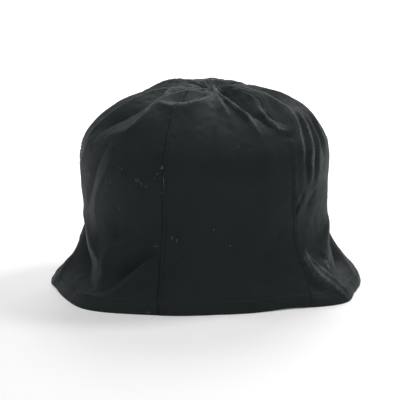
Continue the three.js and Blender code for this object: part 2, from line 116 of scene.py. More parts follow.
# Folds, each a line on the cloth through places (azimuth, down, height above the cloth around it).
# Below zero it is a valley. Between the lines the cloth is stretched flat, and away from them it
# falls back over a distance of "slack". The third column is how pale a crest is made where it bends
# sharply: partly worn dye, partly a painted highlight. What it has over 1 makes the whole line pale.
Fold = namedtuple("Fold", "name slack worn route")
FOLDS = [
    # The crown's front, left of the middle
    Fold("shelf_back_ridge", 9, 1.08, [
        (-2, 34, 2), (-12, 36, 2.5), (-24, 36, 3), (-32, 39, 3.5), (-37, 45, 3.5), (-40, 51, 3.8),
        (-41, 60, 4.2), (-40, 70, 4.5), (-40, 79, 4.5), (-43, 87, 3.8), (-49, 91, 2.2), (-57, 95, 0.6)]),
    Fold("shelf_edge", 9, 1.12, [
        (1, 34, 2), (-2, 46, 3.5), (-5, 53, 4.5), (-9, 57, 5), (-14, 60, 5), (-20, 61.5, 5), (-28, 62, 4.5),
        (-37, 61, 4.5)]),
    Fold("shelf_dish", 8, 0, [(-6, 42, 1), (-12, 48, 0.4), (-20, 50, 0), (-28, 51, 0.6), (-34, 55, 2.4)]),
    Fold("pocket_ridge", 9, 0.9, [
        (-125, 14, 0.2), (-84, 20, 0.8), (-64, 29, 1.8), (-52, 39, 3), (-43, 50, 4)]),
    Fold("pocket", 7, 0, [(-8, 19, -1), (-20, 22, -4.2), (-34, 27, -5), (-45, 31, -4), (-42, 40, -0.5)]),
    Fold("upper_left_valley", 8, 0, [
        (-84, 28, -1), (-72, 40, -3.6), (-62, 50, -5), (-60, 60, -5.4), (-62, 68, -5.4), (-65, 75, -5),
        (-68, 82, -4), (-69, 89, -2.4), (-68, 96, -0.5)]),
    Fold("left_facet", 9, 1.1, [(-46, 70, 1.6), (-50, 77, 0.4), (-55, 85, 0), (-60, 92, 0)]),
    Fold("left_top_ridge", 9, 0.6, [
        (-96, 28, 0), (-82, 42, 1), (-77, 56, 1.4), (-76, 69, 1.6), (-77, 82, 1.4), (-77, 92, 1),
        (-78, 104, 0)]),
    Fold("left_side_valley", 10, 0, [(-98, 48, -2.4), (-91, 64, -2.4), (-88, 84, -2), (-86, 102, 0)]),
    Fold("left_side_ridge", 12, 0.3, [(-118, 32, -1.5), (-106, 56, 0.4), (-100, 84, 0.6), (-96, 112, 0)]),
    # The crown's front, right of the middle
    Fold("front_ridge", 8, 1, [
        (4, 10, 0.8), (3, 22, 3), (3, 31, 3.5), (7, 41, 3.5), (10, 50, 3), (12, 59, 3), (14, 66, 2),
        (17, 71, 0.5)]),
    Fold("front_long_ridge", 9, 1.08, [
        (5, 26, 2.5), (11, 44, 4), (17, 55, 4), (21, 63, 3.8), (25, 71, 3.5), (27, 79, 2.5), (29, 86, 1.4),
        (31, 93, 0.3)]),
    Fold("front_crease", 8, 0, [(12, 51, 2.2), (16, 60, 1.8), (20, 68, 1), (23, 76, 0.4)]),
    Fold("front_valley", 9, 0, [
        (11, 15, -1.5), (17, 23, -3.6), (22, 34, -4.8), (26, 46, -4.8), (30, 57, -4.2), (33, 67, -3),
        (36, 76, -1.4), (38, 84, 0)]),
    Fold("seam_bulge", 12, 0, [(32, 20, 1.4), (38, 31, 2), (41, 42, 2.4), (43, 52, 2.2), (43, 58, 1.2)]),
    Fold("seam_ridge", 6, 1, [
        (40, 60, 0.6), (38.5, 66, 1), (38, 75, 1.8), (39.5, 81, 2.2), (42, 86, 2.2), (46, 88, 1.2),
        (47, 95, 0)]),
    Fold("seam_fold", 7, 0, [(45, 58, 1), (43, 66, -0.6), (43, 75, -1), (47, 82, 0)]),
    Fold("right_top_ridge", 11, 1.12, [
        (54, 12, 1), (50, 26, 3), (51, 40, 4), (53, 48, 4.6), (54, 56, 4.6), (55, 64, 4.6), (57, 71, 4.6),
        (56, 79, 4.2), (55, 87, 3.6), (53, 95, 3), (51, 104, 2), (50, 113, 1), (51, 120, 0)]),
    Fold("right_top_valley", 9, 0, [
        (72, 20, -1), (70, 34, -3.8), (70, 46, -5), (69, 56, -4.8), (67, 65, -3.4), (66, 73, -1)]),
    Fold("right_back_ridge", 10, 1.05, [
        (98, 30, 1), (86, 45, 2), (83, 57, 2.6), (81, 69, 3), (79, 80, 3.2), (79, 90, 2.8), (78, 99, 2),
        (78, 107, 1), (79, 116, 0)]),
    Fold("right_ridge", 7, 1.05, [
        (58, 68, 4), (62, 76, 3.4), (63, 84, 3.2), (62, 93, 2.8), (60, 102, 2.2), (58, 109, 1.8),
        (56, 118, 1.4), (56, 130, 0.3)]),
    Fold("right_inner_valley", 6, 0, [
        (59, 84, 1.2), (58, 94, 0.4), (56, 103, -0.4), (53.5, 112, -0.8), (53, 121, -0.8), (53, 130, 0)]),
    Fold("right_outer_ridge", 8, 0.5, [
        (72, 78, 1.6), (70, 88, 2), (69, 98, 1.8), (67, 106, 1.4), (64, 114, 1.2), (63, 124, 0.9),
        (63, 136, 0)]),
    Fold("right_outer_valley", 6, 0, [
        (66, 84, 0.8), (65, 95, 0.2), (63, 104, -0.5), (60, 114, -0.8), (59, 126, -0.5), (60, 134, 0)]),
    Fold("right_edge_valley", 8, 0, [(75, 88, 0.6), (74, 98, -0.4), (72, 107, -0.6), (72, 118, 0)]),
    # The crown's top and back
    Fold("apex_ridge", 9, 0.3, [
        (-125, 16, 1.2), (-160, 15, 1.8), (170, 15, 1.6), (128, 16, 1.6), (98, 24, 1.8)]),
    Fold("back_apex_valley", 9, 0, [(-100, 26, -1), (-118, 34, -3), (-122, 50, -4), (-118, 76, -1.6)]),
    Fold("notch", 10, 0, [(100, 36, -1.5), (112, 40, -4), (130, 48, -3.5), (142, 58, -1)]),
    Fold("right_side_ridge", 11, 0.4, [
        (110, 54, -1), (98, 66, 0.8), (92, 84, 1.5), (88, 104, 1.2), (86, 122, 0.2)]),
    Fold("back_right_valley", 12, 0, [(118, 44, -2), (108, 60, -4), (108, 78, -3), (110, 98, 0)]),
    Fold("back_right_ridge", 12, 0.4, [(140, 40, -1), (133, 66, 1), (128, 86, 1.6), (126, 106, 0)]),
    Fold("back_notch", 11, 0, [(152, 18, 0), (148, 36, 0.6), (148, 58, -3), (152, 88, 0)]),
    Fold("back_ridge", 12, 0.4, [(170, 18, 0.6), (174, 38, 1.2), (179, 62, 3), (186, 98, 0)]),
    Fold("back_valley", 12, 0, [(194, 18, 0.6), (202, 36, 1), (202, 58, -3), (196, 90, 0)]),
    Fold("back_left_ridge", 12, 0.4, [(216, 20, 1), (216, 40, 2.4), (218, 62, 3.2), (228, 98, 0)]),
    Fold("back_left_valley", 12, 0, [(238, 30, -1), (236, 46, -4), (238, 64, -3.4), (244, 90, 0)]),
    # The wall
    Fold("left_wall_valley", 8, 0, [
        (-52, 99, 0), (-54, 107, -1), (-58, 116, -1.8), (-61, 126, -2), (-65, 136, -1.6), (-69, 146, -0.8),
        (-72, 154, 0)]),
    Fold("left_margin_ridge", 7, 0, [
        (-70, 96, 0), (-73, 108, 0.8), (-76, 122, 1), (-80, 138, 0.8), (-84, 152, 0)]),
    Fold("left_wall_ridge", 10, 0, [
        (-46, 103, 0), (-48, 113, 0.4), (-51, 122, 0.6), (-56, 132, 0.7), (-60, 143, 0.8), (-61, 153, 1),
        (-59, 163, 1), (-55, 171, 0.4)]),
    Fold("right_streak", 6, 0, [
        (50, 114, 0.3), (49, 121, 0.6), (50, 129, 0.4), (48, 135, 0.5), (46, 141, 0.5), (45, 146, 0)]),
    Fold("right_stroke", 5, 0, [
        (61, 134, 0), (60, 138, -1), (57, 142, -1.4), (54, 147, -1.2), (51, 152, 0)]),
    Fold("right_stroke_ridge", 6, 0, [
        (54, 132, 0), (51, 138, 0.5), (48, 144, 0.6), (47, 150, 0.6), (46, 156, 0)]),
    Fold("right_small_valley", 4, 0, [(50.5, 137, 0), (49.5, 141, -0.9), (47, 145, -0.9), (45.5, 149, 0)]),
    Fold("front_hollow", 20, 0, [(39, 157, -0.3), (32, 170, -1.8), (26, 182, -2.2), (19, 194, -1)]),
    Fold("left_wall_hollow", 16, 0, [(-27, 146, -0.5), (-36, 157, -1.6), (-44, 166, -1)]),
    Fold("right_wall_swell", 16, 0, [(78, 130, 0), (76, 146, 1.2), (74, 160, 1)]),
    # The brim
    Fold("left_thin_ridge", 5, 1, [
        (-82, 158, 0.3), (-76, 163, 1.4), (-69, 169, 2.4), (-65, 173, 3.2), (-61, 177, 3.8), (-57, 181, 4),
        (-54, 185, 3.4), (-52, 189, 2), (-50, 194, 0.6)]),
    Fold("left_triangle", 7, 0, [
        (-98, 158, -0.5), (-91, 166, -3.4), (-84, 175, -8), (-79, 184, -9.5), (-72, 191, -9),
        (-63, 196, -6.5), (-54, 201, -4), (-47, 204, -2)]),
    Fold("left_wing_ridge", 7, 0.6, [
        (-108, 164, -2), (-98, 174, -2), (-91, 184, -0.5), (-87, 193, 1.4), (-84, 201, 2.6), (-82, 209, 2.4),
        (-82, 215, 1.2)]),
    Fold("left_lip", 11, 0, [
        (-20, 164, 0), (-26, 167, 0.8), (-33, 169, 1.6), (-40, 172, 2.2), (-46, 176, 2.6), (-49, 182, 2.8),
        (-48, 189, 2.4), (-45, 197, 1.4)]),
    Fold("left_hollow", 6, 0, [
        (-23, 173, -0.5), (-26, 177, -2.4), (-30, 182, -4.2), (-34, 187, -5.4), (-38, 192, -5.8),
        (-40, 197, -4.6), (-40, 203, -1.8)]),
    Fold("left_knee", 10, 0, [
        (-21, 175, 0), (-24, 180, 1.4), (-27, 185, 2.2), (-29, 190, 2.6), (-31, 196, 2.8), (-33, 202, 2.2),
        (-36, 207, 0.8)]),
    Fold("knee_tip", 4, 0, [(-26, 194, 1.6), (-26.5, 199, 0.4), (-27.5, 203, -0.2)]),
    Fold("left_brim_swell", 12, 0.2, [(-37, 206, 1.2), (-42, 209, 1.8), (-50, 210, 1.2)]),
    Fold("right_spur", 5, 1.2, [
        (49, 168, 0), (50, 175, 0.4), (49.5, 181, 1.8), (49, 187, 3.2), (49, 193, 4.2), (49.5, 199, 4.8),
        (51, 204, 4.8), (53, 208, 4.4), (54, 211, 3.4), (55, 214, 2)]),
    Fold("right_spur_back", 5, 1.2, [
        (50, 187, 3.4), (51.5, 192, 4.2), (53, 198, 4.7), (54.5, 202, 4.7), (56, 207, 4.1), (58, 211, 3)]),
    Fold("right_spur_valley", 6, 0, [
        (53, 170, 0), (54, 176, 0.4), (56, 181, 0.8), (58.5, 186, 1.2), (59.5, 191, 1.8), (60, 196, 2)]),
    Fold("right_thin_ridge", 5, 1.1, [
        (81, 160, 0.4), (76, 166, 2.8), (71, 172, 4), (67, 179, 4.4), (64, 184, 4.4), (60, 188, 4.2),
        (57, 192, 3.8), (56, 197, 3), (55, 201, 2)]),
    Fold("right_triangle", 7, 0, [
        (100, 156, -0.5), (95, 164, -4.5), (91, 172, -9.5), (88, 181, -12.5), (84, 189, -12),
        (78, 196, -8.5), (70, 203, -4), (64, 209, -1)]),
    Fold("right_wing_ridge", 7, 0.3, [
        (110, 160, 0), (102, 170, -0.2), (96, 180, -0.4), (90, 189, -0.2), (86, 198, 0.4), (83, 206, 0.6),
        (80, 213, 0.2)]),
    Fold("right_brim_valley", 4, 0, [(45, 200, 0), (44.5, 205, -1.6), (44, 211, -1.2)]),
    Fold("back_right_pinch", 12, 0, [(138, 158, 0), (142, 172, -2.4), (148, 186, -3.4), (155, 206, -1.4)]),
    Fold("back_right_lip", 12, 0.3, [(150, 160, 0), (160, 174, 2.5), (170, 188, 2.6), (178, 208, 1)]),
    Fold("back_brim_valley", 12, 0, [(188, 162, 0), (186, 176, -2), (184, 192, -2.2), (182, 208, -0.6)]),
    Fold("back_left_pinch", 12, 0, [(246, 156, 0), (242, 172, -2.8), (236, 188, -3.8), (231, 208, -1.4)]),
    Fold("back_left_lip", 12, 0.3, [(226, 158, 0), (220, 172, 2.4), (214, 188, 2.6), (208, 208, 1)]),
]
FOLD_PLACES = 1200  # at which a fold's line holds the cloth
FOLD_HOLD = 40.0  # how firmly it does
FOLD_END = 0.06  # share of its length over which it lets go at either end
WEAR_AND_HIGHLIGHT_TAPER = 0.25  # share of its length over which its wear and painted highlight come and go

# What changes up the cloth. A span says where a rise or fall starts and how far on it ends
CROWN_GAIN = 0.25  # by which the crown's folds stand out more than their lines say
CROWN_GAIN_SPAN = (60, 60)
CROWN_PAINTED_LIGHT = 0.08  # painted light: the crown is made paler towards the apex, as if lit from above
CROWN_PAINTED_LIGHT_SPAN = (130, 45)
EDGE_SHARE = 0.35  # of a fold's height that is left at the stitched edge
EDGE_SPAN = (0, 18)

# The grid on which the cloth's shape is worked out
AZ_COUNT = 600
UP_COUNT = 300
APEX_GAP = 0.25  # the grid ends this far from the apex
APEX_SPAN = (0, 14)  # down from the apex, over which folds rise
APEX_SINK = 3  # of the apex between the folds around it
SOLVE_STEPS = 900
SLACK_STEPS = 60  # rounds of spreading, from a fold's line to the cloth beside it
FAR_SLACK = 12  # of the cloth that those rounds don't reach
# Rounds of spreading of the crests' wear and painted highlight
WEAR_AND_HIGHLIGHT_STEPS = 3
WEAR_AND_HIGHLIGHT_BEND = 0.06  # a crest that stands this far above its neighbours on the grid is fully worn and given its painted highlight
TINY = 1e-9  # stands in for zero where something is divided by it

# The cloth as the meshes show it
WALL = 1.4
HEM_WALL = 2.4
HEM_WIDTH = 9
HEM_RADIUS = 112  # turns an azimuth into a length along the hem
HEM_STITCH_UP = 7.8
SEAM_STITCH = 3.0  # from each seam, on its side of higher azimuth
ALLOWANCE = 8.5  # width of the felled seam allowance inside
ALLOWANCE_WALL = 0.8
STITCH_PITCH = 3.0
STITCH_LENGTH = 2.3
STITCH_RADIUS = 0.27
STITCH_LIFT = 0.12  # of a stitch's middle over the cloth
STITCH_TOP = 16  # the seams' stitching ends this far from the apex
LEVEL_SPAN = (0, 6)  # up the cloth, whose normals are level at the edge

# Relief of the outer face: heights, depths, widths and spans
SEAM_SPAN = (0, 14)  # down from the apex, where the seams meet and lose their relief
DITCH_DEPTH = 0.36
DITCH_WIDTH = 0.32
DITCH_AT_APEX = 0.4  # share of its depth
FELLED_LIFT = 0.3  # of the cloth over the allowance, beside the seam
FELLED_RISE = (0.3, 1.2)
FELLED_FALL = (SEAM_STITCH + 0.3, 3.5)
SEAM_GROOVE_DEPTH = 0.3
SEAM_GROOVE_WIDTH = 0.4
PUCKER_HEIGHT = 0.2
PUCKER_WIDTH = 6
HEM_LIFT = 0.45
HEM_FALL = (HEM_WIDTH - 0.4, 1.6)
HEM_GROOVE_DEPTH = 0.35
HEM_GROOVE_WIDTH = 0.55
NEEDLE_SHARE = 0.4  # of a groove's depth, by which it changes about its mean
ROPE_HEIGHT = 0.13  # of the slanting ropes, or ripples, that the hem's stitching pulls up
ROPE_PITCH = 8.5
ROPE_SLANT = 0.9
ROPE_DRIFT = 2.2
ROPE_CHANGE = (0.5, 0.7)  # their mean strength, and how much it changes along the hem
ROPE_RISE = (0, 2)
ROPE_FALL = (HEM_STITCH_UP, 5)
CREASE_HEIGHTS = {"broad": 0.28, "fine": 0.12}
CRUMPLE_HEIGHT = 0.15
CROWN_CRUMPLE_RISE = (95, 50)
BRIM_CRUMPLE = 0.5  # share of the crown's
BRIM_CRUMPLE_RISE = (8, 6)
BRIM_CRUMPLE_FALL = (12, 40)
HEM_INSIDE_FALL = (HEM_WIDTH, 0.8)
ALLOWANCE_FALL = (ALLOWANCE, 0.6)

# Smooth noise over the whole hat: its seed, and its cells round the hat and up it
Cells = namedtuple("Cells", "name seed around upward")
NOISE_CELLS = [
    Cells("pucker", 3, 90, 60),
    Cells("broad", 5, 26, 9),
    Cells("rope", 8, 60, 4),
    Cells("fine", 13, 90, 34),
    Cells("crumple", 21, 110, 52),
]


def smooth(x):
    """From 0 to 1 as x goes from 0 to 1, and level at both ends."""
    x = np.clip(x, 0, 1)
    return x * x * (3 - 2 * x)


def rise(x, start, reach):
    """From 0 at start to 1 a reach further on."""
    return smooth((x - start) / reach)


def fall(x, start, reach):
    return 1 - rise(x, start, reach)


def bump(x, width):
    """A bell that is 1 high where x is 0."""
    return np.exp(-((x / width) ** 2))


def unit(vectors):
    return vectors / np.maximum(np.linalg.norm(vectors, axis=-1, keepdims=True), TINY)


def curve_through(knots, values):
    """A smooth curve through (knots, values). A knot's slope is the weighted mean of those beside it."""
    knots, values = np.array(knots, float), np.array(values, float)
    gaps = np.diff(knots)
    slopes = np.diff(values) / gaps
    tangents = np.empty_like(values)
    tangents[0], tangents[-1] = slopes[0], slopes[-1]
    tangents[1:-1] = (slopes[:-1] * gaps[1:] + slopes[1:] * gaps[:-1]) / (gaps[:-1] + gaps[1:])

    def at(x):
        i = np.clip(np.searchsorted(knots, x, side="right") - 1, 0, len(gaps) - 1)
        t = (x - knots[i]) / gaps[i]
        share = (3 - 2 * t) * t * t
        leave = tangents[i] * t * (1 - t) ** 2
        arrive = tangents[i + 1] * t * t * (t - 1)
        return values[i] * (1 - share) + values[i + 1] * share + gaps[i] * (leave + arrive)

    return at


MEAN_RADII = np.array([(s.left + s.right + s.front + s.back) / 4 for s in SECTIONS])
HEIGHTS = np.array([s.height for s in SECTIONS])
UPS = np.concatenate([[0], np.cumsum(np.hypot(np.diff(MEAN_RADII), np.diff(HEIGHTS)))])
APEX_UP = UPS[-1]
TOP_UP = APEX_UP - APEX_GAP
CURVES = {
    column: curve_through(UPS, [getattr(s, column) for s in SECTIONS]) for column in Section._fields
}


def bare_surface(azimuth, up):
    angle = np.radians(azimuth)
    across, ahead = np.sin(angle), np.cos(angle)
    side = np.where(across < 0, CURVES["left"](up), CURVES["right"](up))
    depth = np.where(ahead > 0, CURVES["front"](up), CURVES["back"](up))
    x = CURVES["lean"](up) + side * across
    return np.stack([x, -depth * ahead, CURVES["height"](up) + 0 * angle], -1)


def waved_surface(azimuth, up):
    """The cloth with the waves of the brim's edge and without its folds."""
    share = np.clip(1 - up / WAVE_REACH, 0, None) ** 2
    out, lift = 0, 0
    for wave in WAVES:
        away = (azimuth - wave.azimuth + 180) % 360 - 180
        strength = share * bump(away, wave.spread)
        out = out + wave.out * strength
        lift = lift + wave.lift * strength
    angle = np.radians(azimuth)
    raised = np.clip(lift - REST_LIFT * share, 0, None)
    moved = np.stack([out * np.sin(angle), -out * np.cos(angle), raised], -1)
    return bare_surface(azimuth, up) + moved + ORIGIN_SHIFT


def normals_of(points):
    """Outward unit normals of a grid of points [up, azimuth], closed round the azimuth."""
    around = np.roll(points, -1, 1) - np.roll(points, 1, 1)
    upward = np.gradient(points, axis=0)
    return unit(np.cross(around, upward))


def catmull_rom(places, count):
    """Evenly parted points on a Catmull-Rom curve through places, and each one's share of the way."""
    places = np.array(places, float)
    ends = np.vstack([places[:1], places, places[-1:]])
    share = np.linspace(0, 1, count)
    at = share * (len(places) - 1)
    i = np.minimum(at.astype(int), len(places) - 2)
    t = (at - i)[:, None]
    a, b, c, d = (ends[i + k] for k in range(4))
    leave, arrive = (c - a) / 2, (d - b) / 2
    third = 2 * b - 2 * c + leave + arrive
    second = -3 * b + 3 * c - 2 * leave - arrive
    return third * t**3 + second * t**2 + leave * t + b, share


def cells_around(row, column):
    """The four cells of the grid round each place, with the share of the place that each one gets."""
    for i, along in ((np.floor(row), 1 - row % 1), (np.floor(row) + 1, row % 1)):
        for j, beside in ((np.floor(column), 1 - column % 1), (np.floor(column) + 1, column % 1)):
            cell = (np.clip(i.astype(int), 0, UP_COUNT - 1), j.astype(int) % AZ_COUNT)
            yield cell, along * beside


def fold_lines(az_step, up_step):
    """What the folds' lines ask for on the grid: height, firmness, slack, wear with painted highlight, and
    where they run.
    """
    wanted, firm, slack, worn = (np.zeros((UP_COUNT, AZ_COUNT)) for _ in range(4))
    for fold in FOLDS:
        route = [
            (down * math.sin(math.radians(az)), down * math.cos(math.radians(az)), height)
            for az, down, height in fold.route
        ]
        places, share = catmull_rom(route, FOLD_PLACES)
        column = np.degrees(np.arctan2(places[:, 0], places[:, 1])) / az_step
        row = (APEX_UP - np.hypot(places[:, 0], places[:, 1])) / up_step
        held = smooth(share / FOLD_END) * smooth((1 - share) / FOLD_END)
        wear_and_painted_light = fold.worn * smooth(share / WEAR_AND_HIGHLIGHT_TAPER) * smooth((1 - share) / WEAR_AND_HIGHLIGHT_TAPER)
        for cell, part in cells_around(row, column):
            part = part * held
            np.add.at(wanted, cell, part * places[:, 2])
            np.add.at(slack, cell, part * fold.slack)
            np.add.at(firm, cell, part)
            np.add.at(worn, cell, part * wear_and_painted_light)
    hit = firm > TINY
    for values in (wanted, slack, worn):
        values[hit] /= firm[hit]
    return wanted, np.minimum(firm, 1), slack, worn, hit


def spread(values, weights, steps, near):
    """Values spread from where weights are to the whole grid, by repeated averaging."""
    total = values * weights
    for _ in range(steps):
        total = near(total)
        weights = near(weights)
    return total / np.maximum(weights, TINY), weights


def solve_folds(points):
    """The cloth's height over the unfolded surface, and the paleness of its crests: wear and painted
    highlight.

    The cloth is held to the folds' lines, stretched between them and slack away from them.
    """
    wide = np.linalg.norm(np.roll(points, -1, 1) - np.roll(points, 1, 1), axis=-1) / 2
    tall = np.linalg.norm(np.gradient(points, axis=0), axis=-1)
    pull_az, pull_up = tall / wide, wide / tall
    wanted, firm, slack, worn, hit = fold_lines(360 / AZ_COUNT, TOP_UP / (UP_COUNT - 1))

    def rows(values, step):
        return values[np.clip(np.arange(UP_COUNT) + step, 0, UP_COUNT - 1)]

    def near(values):
        level = np.roll(values, 1, 1) + np.roll(values, -1, 1)
        return (values + rows(values, 1) + rows(values, -1) + level) / 5

    slack, weight = spread(slack, hit * 1.0, SLACK_STEPS, near)
    slack = np.where(weight > TINY, slack, FAR_SLACK)
    hold = FOLD_HOLD * firm
    return_pull = wide * tall / slack**2
    height = np.zeros_like(wanted)
    for _ in range(SOLVE_STEPS):
        pulled = pull_az * (np.roll(height, 1, 1) + np.roll(height, -1, 1))
        pulled += pull_up * (rows(height, 1) + rows(height, -1))
        height = (pulled + hold * wanted) / (2 * pull_az + 2 * pull_up + return_pull + hold)
    worn, weight = spread(worn, hit * 1.0, WEAR_AND_HIGHLIGHT_STEPS, near)
    # Crests that bend sharply are made pale: worn dye and a painted highlight.
    bend = np.clip((height - near(height)) / WEAR_AND_HIGHLIGHT_BEND, 0, 1)
    everywhere = np.clip(worn - 1, 0, None)
    return height, np.clip((bend * np.minimum(worn, 1) + everywhere) * (weight > 0), 0, 1)


def cloth_grid():
    """The folded cloth's points, normals, and paleness from wear and painted light, on the grid."""
    azimuths, ups = np.meshgrid(np.arange(AZ_COUNT) * 360 / AZ_COUNT, np.linspace(0, TOP_UP, UP_COUNT))
    points = waved_surface(azimuths, ups)
    normals = normals_of(points)
    freedom = rise(ups, *EDGE_SPAN)
    normals[..., 2] *= freedom
    normals = unit(normals)
    height, wear_and_painted_light = solve_folds(points)
    # Painted light: the crown is made paler towards the apex, as if lit from above.
    wear_and_painted_light = wear_and_painted_light + CROWN_PAINTED_LIGHT * rise(ups, *CROWN_PAINTED_LIGHT_SPAN)
    height = height * (EDGE_SHARE + (1 - EDGE_SHARE) * freedom)
    height = height * (1 + CROWN_GAIN * rise(ups, *CROWN_GAIN_SPAN))
    calm = fall(APEX_UP - ups, *APEX_SPAN)
    height = height * (1 - calm) - APEX_SINK * calm
    points = points + normals * height[..., None]
    return {"points": points, "normals": normals_of(points), "wear_and_painted_light": wear_and_painted_light}


def cubic_weights(t):
    return (
        (-t + 2 * t**2 - t**3) / 2,
        (2 - 5 * t**2 + 3 * t**3) / 2,
        (t + 4 * t**2 - 3 * t**3) / 2,
        (-(t**2) + t**3) / 2,
    )


def sample(grid, azimuth, up):
    """A grid's values at any azimuths and distances up, by cubic interpolation."""
    column = azimuth / 360 * AZ_COUNT
    row = np.clip(up / TOP_UP * (UP_COUNT - 1), 0, UP_COUNT - 1)
    i, j = np.floor(column).astype(int), np.minimum(np.floor(row).astype(int), UP_COUNT - 2)
    flat = grid.ndim == 2
    values = grid[..., None] if flat else grid
    across, along = cubic_weights(column - i), cubic_weights(row - j)
    total = 0
    for dj in range(4):
        rows = np.clip(j + dj - 1, 0, UP_COUNT - 1)
        line = sum(across[di][..., None] * values[rows, (i + di - 1) % AZ_COUNT] for di in range(4))
        total = total + along[dj][..., None] * line
    return total[..., 0] if flat else total


class Noise:
    """Smooth noise that runs on round the azimuth."""

    def __init__(self, cells):
        generator = np.random.default_rng(cells.seed)
        self.values = generator.normal(size=(cells.upward, cells.around))

    def __call__(self, azimuth, up):
        rows, columns = self.values.shape
        x, y = azimuth / 360 * columns, np.clip(up / APEX_UP, 0, 1) * (rows - 1)
        i, j = np.floor(x).astype(int), np.minimum(np.floor(y).astype(int), rows - 2)
        tx, ty = smooth(x - i), smooth(y - j)
        v = self.values
        low = v[j, i % columns] * (1 - tx) + v[j, (i + 1) % columns] * tx
        high = v[j + 1, i % columns] * (1 - tx) + v[j + 1, (i + 1) % columns] * tx
        return low * (1 - ty) + high * ty


# Offsets of a gore's columns from each seam, close together where the seam's shape is fine
SEAM_COLUMNS = [0, 0.25, 0.5, 0.8, 1.2, 1.7, 2.2, 2.5, 2.75, 3.0, 3.25, 3.5, 3.9, 4.6, 5.6, 6.8]
MIDDLE_COLUMNS = 80
NARROW = 30  # a row that is narrower than this has its columns closer together
WIDTH_PLACES = 80  # at which a row's width is measured

# Distances up of a gore's rows: close together along the hem, and even above it
HEM_ROWS = [0, 0.12, 0.35, 0.7, 1.2, 1.8, 2.6, 3.6, 4.6, 5.6, 6.4, 7.0, 7.4, 7.8, 8.2, 8.6, 9.2, 10]
EVEN_ROWS_FROM = 11
EVEN_ROW_STEP = 1.05
ROWS = np.concatenate([HEM_ROWS, np.arange(EVEN_ROWS_FROM, TOP_UP, EVEN_ROW_STEP), [TOP_UP]])

SEAM_CURVES = {seam.name: curve_through(*zip(*seam.route)) for seam in SEAMS}


def gore_columns(gore, ups):
    """Azimuth of each point of a gore's grid [up, column], and its distance to both seams."""
    starts, ends = SEAM_CURVES[gore.start](ups), SEAM_CURVES[gore.end](ups)
    ends = np.where(ends < starts, ends + 360, ends)
    azimuths, from_start, from_end = [], [], []
    for up, start, end in zip(ups, starts, ends):
        fine = np.linspace(start, end, WIDTH_PLACES)
        points = bare_surface(fine, np.full_like(fine, up))
        steps = np.linalg.norm(np.diff(points, axis=0), axis=1)
        along = np.concatenate([[0], np.cumsum(steps)])
        width = along[-1]
        scale = min(1, width / NARROW)
        beside = np.array(SEAM_COLUMNS) * scale
        middle = np.linspace(beside[-1], width - beside[-1], MIDDLE_COLUMNS)
        offsets = np.concatenate([beside[:-1], middle, (width - beside[:-1])[::-1]])
        azimuths.append(np.interp(offsets, along, fine))
        from_start.append(offsets)
        from_end.append(width - offsets)
    return np.array(azimuths), np.array(from_start), np.array(from_end)


def needle_holes(along):
    """Share of a groove's depth: all of it where the needle went in, between two stitches."""
    return 1 - NEEDLE_SHARE + NEEDLE_SHARE * np.cos(2 * np.pi * along / STITCH_PITCH)


def seam_relief(azimuth, up, from_start, from_end, noises):
    """A ditch at both seams, and beside the first one the felled cloth and its stitching's groove."""
    nearest = np.minimum(from_start, from_end)
    full = rise(APEX_UP - up, *SEAM_SPAN)
    ditch = DITCH_DEPTH * bump(nearest, DITCH_WIDTH) * (DITCH_AT_APEX + (1 - DITCH_AT_APEX) * full)
    felled = FELLED_LIFT * rise(from_start, *FELLED_RISE) * fall(from_start, *FELLED_FALL)
    groove = SEAM_GROOVE_DEPTH * bump(from_start - SEAM_STITCH, SEAM_GROOVE_WIDTH) * needle_holes(up)
    pucker = PUCKER_HEIGHT * bump(nearest, PUCKER_WIDTH) * noises["pucker"](azimuth, up)
    return (felled - groove + pucker) * full - ditch


def hem_relief(azimuth, up, noises):
    """The turned cloth, its stitching's groove, and the ropes that the stitching pulls up."""
    arc = np.radians(azimuth) * HEM_RADIUS
    groove = HEM_GROOVE_DEPTH * bump(up - HEM_STITCH_UP, HEM_GROOVE_WIDTH) * needle_holes(arc)
    drift = ROPE_DRIFT * noises["broad"](azimuth, up)
    ropes = np.sin(2 * np.pi * (arc + ROPE_SLANT * up) / ROPE_PITCH + drift)
    mean, change = ROPE_CHANGE
    strength = mean + change * noises["rope"](azimuth, up)
    ropes = ROPE_HEIGHT * ropes * strength * rise(up, *ROPE_RISE) * fall(up, *ROPE_FALL)
    return HEM_LIFT * fall(up, *HEM_FALL) - groove + ropes


def crease_relief(azimuth, up, noises):
    """Small creases everywhere, and crumples on the crown and the brim."""
    brim = rise(up, *BRIM_CRUMPLE_RISE) * fall(up, *BRIM_CRUMPLE_FALL)
    crumpled = rise(up, *CROWN_CRUMPLE_RISE) + BRIM_CRUMPLE * brim
    creases = sum(height * noises[name](azimuth, up) for name, height in CREASE_HEIGHTS.items())
    return creases + CRUMPLE_HEIGHT * crumpled * noises["crumple"](azimuth, up)


def inner_depth(up, from_start):
    """How far the inner face lies from the outer one: further at the hem and the felled seams."""
    hem = fall(up, *HEM_INSIDE_FALL)
    felled = fall(from_start, *ALLOWANCE_FALL)
    return WALL + (HEM_WALL - WALL) * hem + ALLOWANCE_WALL * felled * (1 - hem)


def rounded_edge(up):
    """The hem's fold at the brim's edge: half a circle across the doubled cloth."""
    radius = HEM_WALL / 2
    reach = np.clip(radius - up, 0, radius)
    return radius - np.sqrt(radius**2 - reach**2)


def middle_face(grids, azimuth, up):
    """Points and normals of the folded cloth. Near the brim's edge the normals are level."""
    points = sample(grids["points"], azimuth, up)
    normals = unit(sample(grids["normals"], azimuth, up))
    level = unit(normals * np.array([1, 1, 0]))
    edge = fall(up, *LEVEL_SPAN)[..., None]
    return points, unit(normals * (1 - edge) + level * edge)


